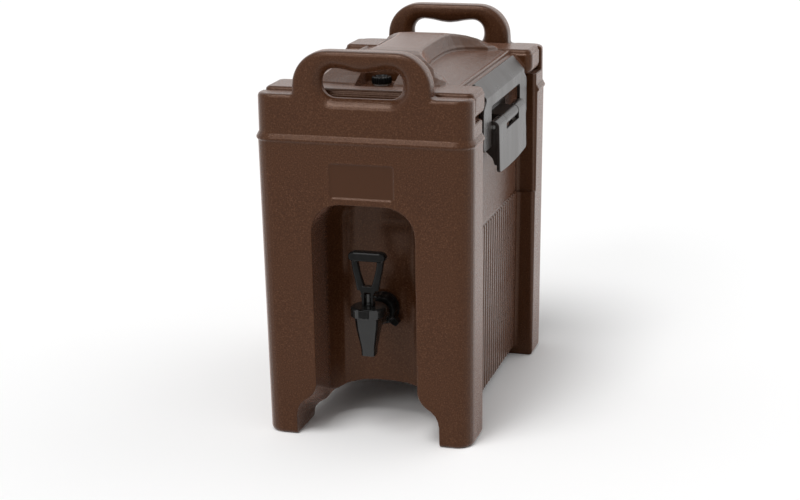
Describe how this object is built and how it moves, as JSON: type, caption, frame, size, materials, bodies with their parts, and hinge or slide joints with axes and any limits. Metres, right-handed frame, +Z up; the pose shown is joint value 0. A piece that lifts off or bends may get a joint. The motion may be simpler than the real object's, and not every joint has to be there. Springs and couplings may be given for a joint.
{
  "type": "insulated beverage dispenser",
  "caption": "Insulated upright beverage dispenser with a recessed spigot, loop hand holds at both ends and a lift-off lid held by draw latches.",
  "frame": {"origin": "floor under the middle of the body", "axes": "+Z up, front with the spigot faces -Y, +X to the right seen from the front"},
  "size_m": [0.2642, 0.424, 0.4685],
  "materials": {
    "brown_shell": "semi-gloss, finely pebbled",
    "black_nylon": "satin",
    "black_gloss": "gloss",
    "silicone": "matt",
    "steel": "satin"
  },
  "bodies": {
    "base": {"body": "brown_shell", "spigot_body": "black_gloss", "spigot_bonnet": "black_gloss", "shank": "black_gloss", "wing_nut": "black_gloss", "outer_washer": "silicone", "inner_washer": "silicone", "latch_bracket_left": "black_nylon", "lever_pin_left": "steel", "bracket_screw_left_front": "steel", "bracket_screw_left_rear": "steel", "latch_bracket_right": "black_nylon", "lever_pin_right": "steel", "bracket_screw_right_front": "steel", "bracket_screw_right_rear": "steel"},
    "lid_body": {"lid": "brown_shell", "lid_gasket": "silicone", "vent_seal": "silicone"},
    "vent": {"vent_cap": "black_gloss"},
    "lever_body_left": {"latch_lever_left": "black_nylon", "bail_pin_left_front": "steel", "bail_pin_left_rear": "steel"},
    "lever_body_right": {"latch_lever_right": "black_nylon", "bail_pin_right_front": "steel", "bail_pin_right_rear": "steel"},
    "bail_body_left": {"latch_bail_left": "black_nylon"},
    "bail_body_right": {"latch_bail_right": "black_nylon"},
    "valve": {"valve_stem": "black_gloss", "seat_cup": "silicone", "handle_pin": "steel"},
    "pull_handle": {"spigot_handle": "black_gloss"}
  },
  "joints": [
    {"name": "lid_lift", "type": "slide", "parent": "base", "child": "lid_body", "axis": [0, 0, 1], "range_m": [0, 0.1]},
    {"name": "vent_turn", "type": "hinge", "parent": "lid_body", "child": "vent", "pos_m": [0, -0.121, 0.42], "axis": [0, 0, 1], "range_deg": [0, 180]},
    {"name": "lever_right", "type": "hinge", "parent": "base", "child": "lever_body_right", "pos_m": [0.1235, 0, 0.3605], "axis": [0, -1, 0], "range_deg": [0, 72]},
    {"name": "bail_right", "type": "hinge", "parent": "lever_body_right", "child": "bail_body_right", "pos_m": [0.117, 0, 0.342], "axis": [0, 1, 0], "range_deg": [0, 138]},
    {"name": "lever_left", "type": "hinge", "parent": "base", "child": "lever_body_left", "pos_m": [-0.1235, 0, 0.3605], "axis": [0, 1, 0], "range_deg": [0, 72]},
    {"name": "bail_left", "type": "hinge", "parent": "lever_body_left", "child": "bail_body_left", "pos_m": [-0.117, 0, 0.342], "axis": [0, -1, 0], "range_deg": [0, 138]},
    {"name": "valve_lift", "type": "slide", "parent": "base", "child": "valve", "axis": [0, 0, 1], "range_m": [0, 0.0038], "stiffness_N_per_m": 800, "springref_m": -0.004},
    {"name": "handle_tilt", "type": "hinge", "parent": "valve", "child": "pull_handle", "pos_m": [0, -0.19, 0.176], "axis": [1, 0, 0], "range_deg": [0, 35]}
  ],
  "couplings": [
    {"joint": "lever_right", "follows": "lid_lift", "rad_per_m": 12.566},
    {"joint": "bail_right", "follows": "lid_lift", "rad_per_m": 24.086},
    {"joint": "lever_left", "follows": "lid_lift", "rad_per_m": 12.566},
    {"joint": "bail_left", "follows": "lid_lift", "rad_per_m": 24.086},
    {"joint": "handle_tilt", "follows": "valve_lift", "rad_per_m": 160.75}
  ]
}
